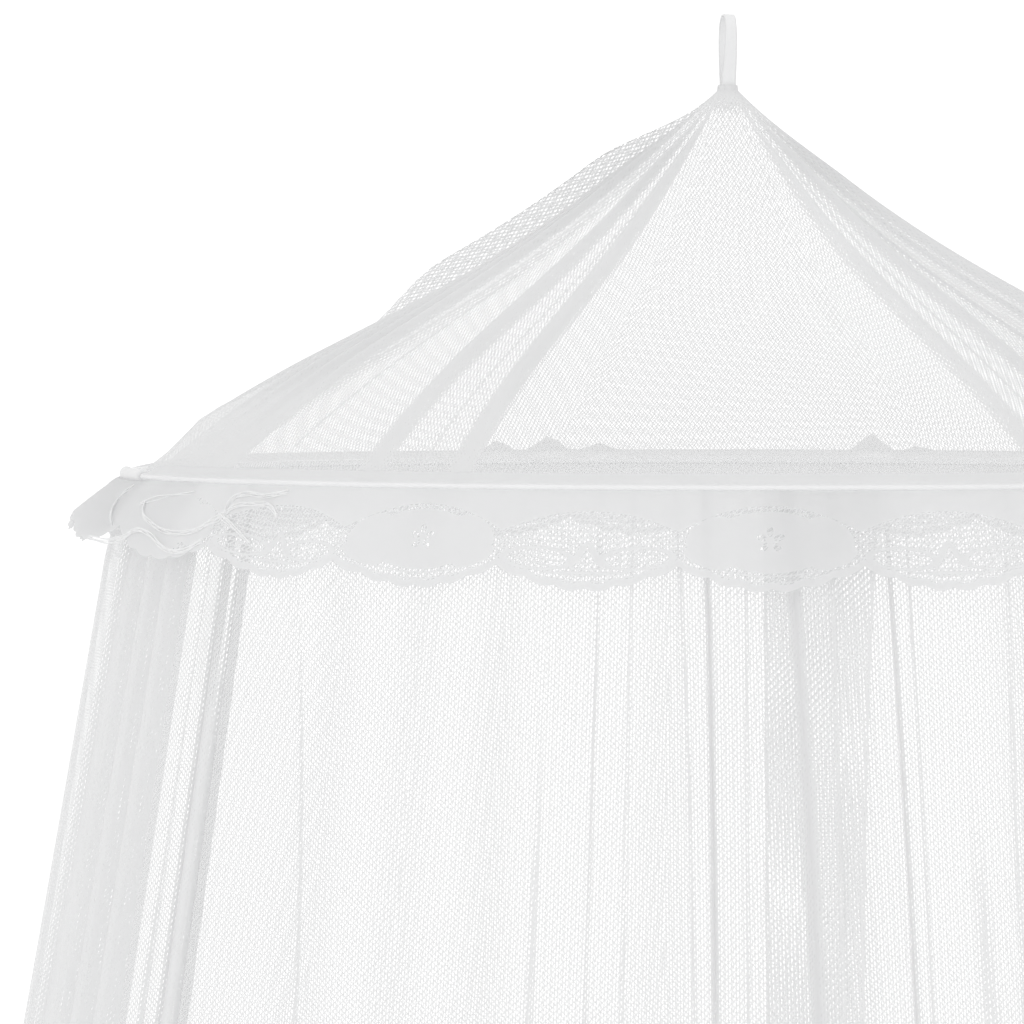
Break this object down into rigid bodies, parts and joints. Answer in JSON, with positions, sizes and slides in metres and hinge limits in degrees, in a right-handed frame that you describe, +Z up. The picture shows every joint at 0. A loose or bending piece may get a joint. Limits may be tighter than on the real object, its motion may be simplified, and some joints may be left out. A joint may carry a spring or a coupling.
{
  "type": "mosquito net canopy with hoop",
  "caption": "Round bed canopy of white net on a thin hoop: a gathered cone roof under a ribbon loop, a scalloped lace trim and a long drape whose front edges lap.",
  "frame": {"origin": "bearing point at the top of the ribbon loop's eye, where a ceiling hook carries the canopy", "axes": "+Z up, -Y towards the front, where the drape's edges lap, +X to the right seen from the front"},
  "size_m": [1.3664, 1.3668, 2.4215],
  "materials": {
    "net": "fine white warp-knit net, matt, see-through",
    "lace": "white knitted lace, matt, leaves and flowers on an open ground",
    "casing": "sheer white net, doubled, matt",
    "ribbon": "white woven ribbon, slight sheen",
    "hoop_plastic": "white, smooth, satin"
  },
  "bodies": {
    "root": {"hang_loop": "ribbon", "roof": "net", "hoop_casing": "casing", "hoop_tube": "hoop_plastic", "hoop_sleeve": "hoop_plastic", "lace_trim": "lace", "drape": "net"}
  },
  "joints": []
}
